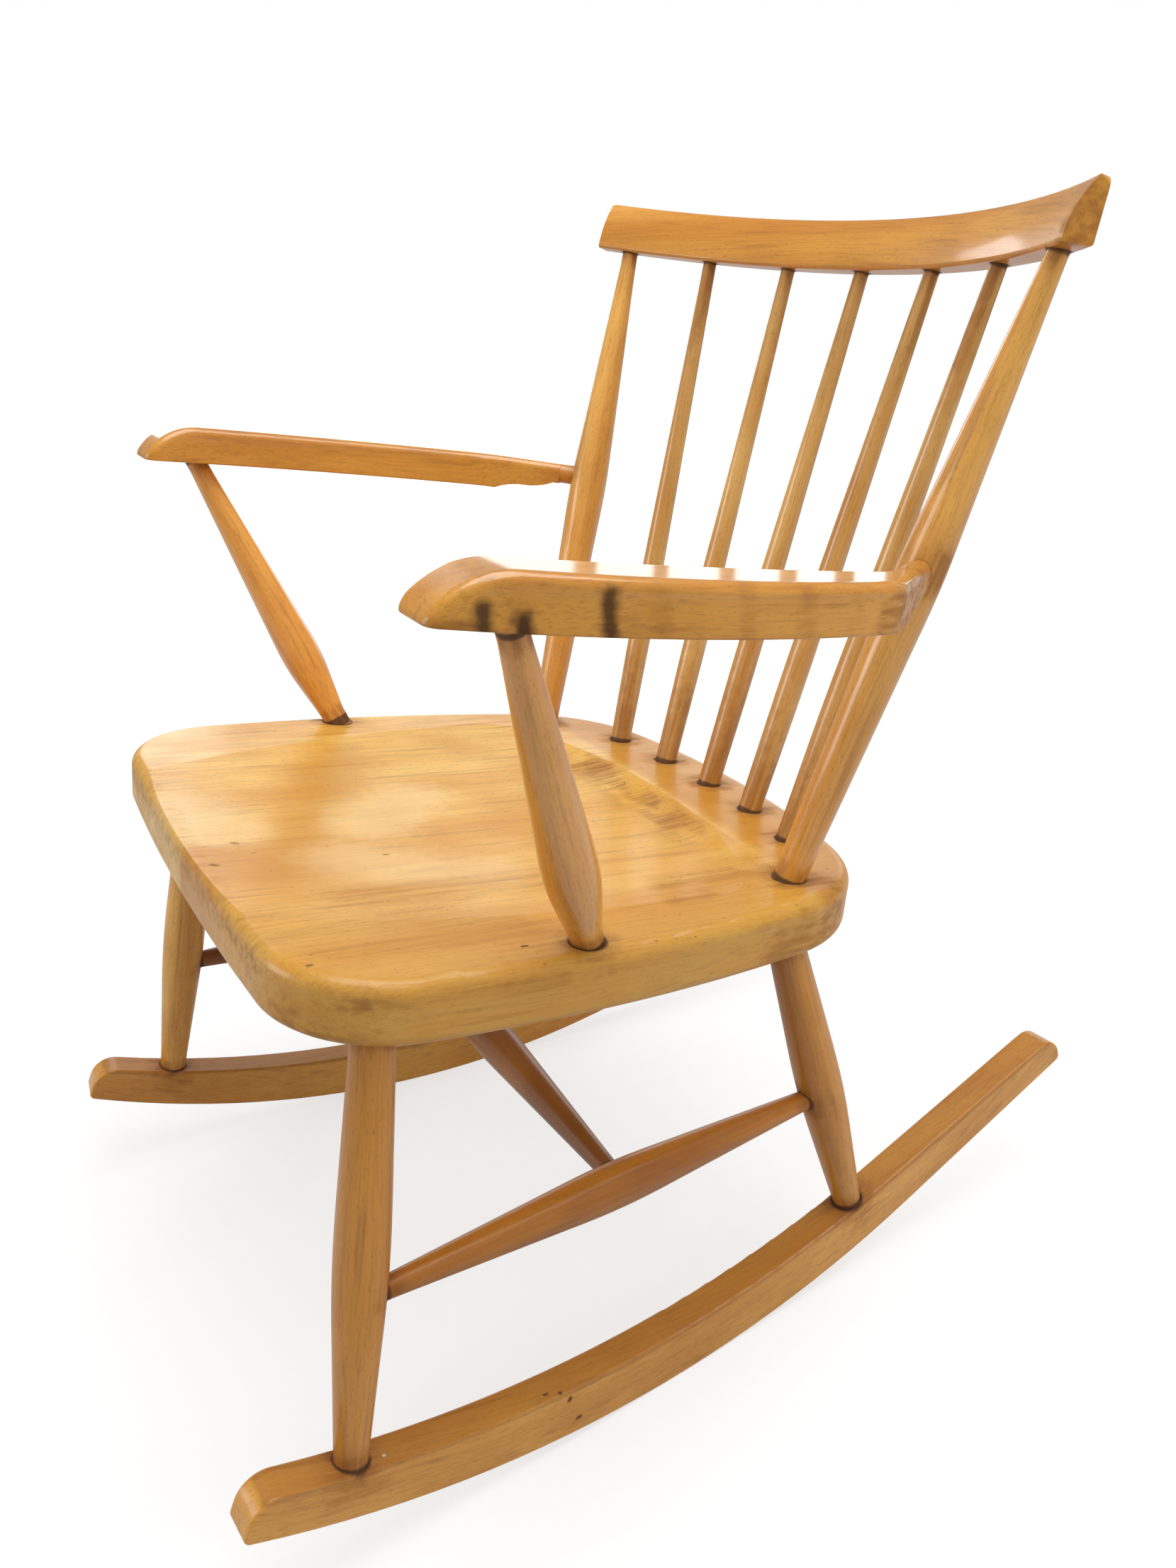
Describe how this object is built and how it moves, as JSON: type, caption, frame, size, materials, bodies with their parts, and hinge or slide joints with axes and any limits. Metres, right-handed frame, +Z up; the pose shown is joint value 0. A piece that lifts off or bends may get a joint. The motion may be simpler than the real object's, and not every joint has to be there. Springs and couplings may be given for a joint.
{
  "type": "rocking chair",
  "caption": "Low-back wooden rocking armchair with a dished seat, tapered turned legs and spindles, and a curved crest rail.",
  "frame": {"origin": "on the floor in the middle of the chair's footprint: the centre plane, half way between the front and rear ends of the rockers, at the height of the rockers' lowest line", "axes": "+Z up, -Y towards the front where the sitter faces, +X towards the sitter's left; YZ is the plane of symmetry"},
  "size_m": [0.676, 0.7516, 0.8046],
  "materials": {
    "seat_wood": "clear amber lacquer, satin gloss",
    "turned_wood": "clear amber lacquer, satin gloss",
    "shaped_wood": "clear amber lacquer, satin gloss"
  },
  "bodies": {
    "root": {"arm_left": "shaped_wood", "arm_right": "shaped_wood", "arm_support_left": "turned_wood", "arm_support_right": "turned_wood", "back_leg_left": "turned_wood", "back_leg_right": "turned_wood", "back_post_left": "turned_wood", "back_post_right": "turned_wood", "crest_rail": "shaped_wood", "cross_stretcher": "turned_wood", "front_leg_left": "turned_wood", "front_leg_right": "turned_wood", "rocker_left": "shaped_wood", "rocker_right": "shaped_wood", "seat": "seat_wood", "side_stretcher_left": "turned_wood", "side_stretcher_right": "turned_wood", "spindle_centre": "turned_wood", "spindle_left_1": "turned_wood", "spindle_left_2": "turned_wood", "spindle_right_1": "turned_wood", "spindle_right_2": "turned_wood"}
  },
  "joints": []
}
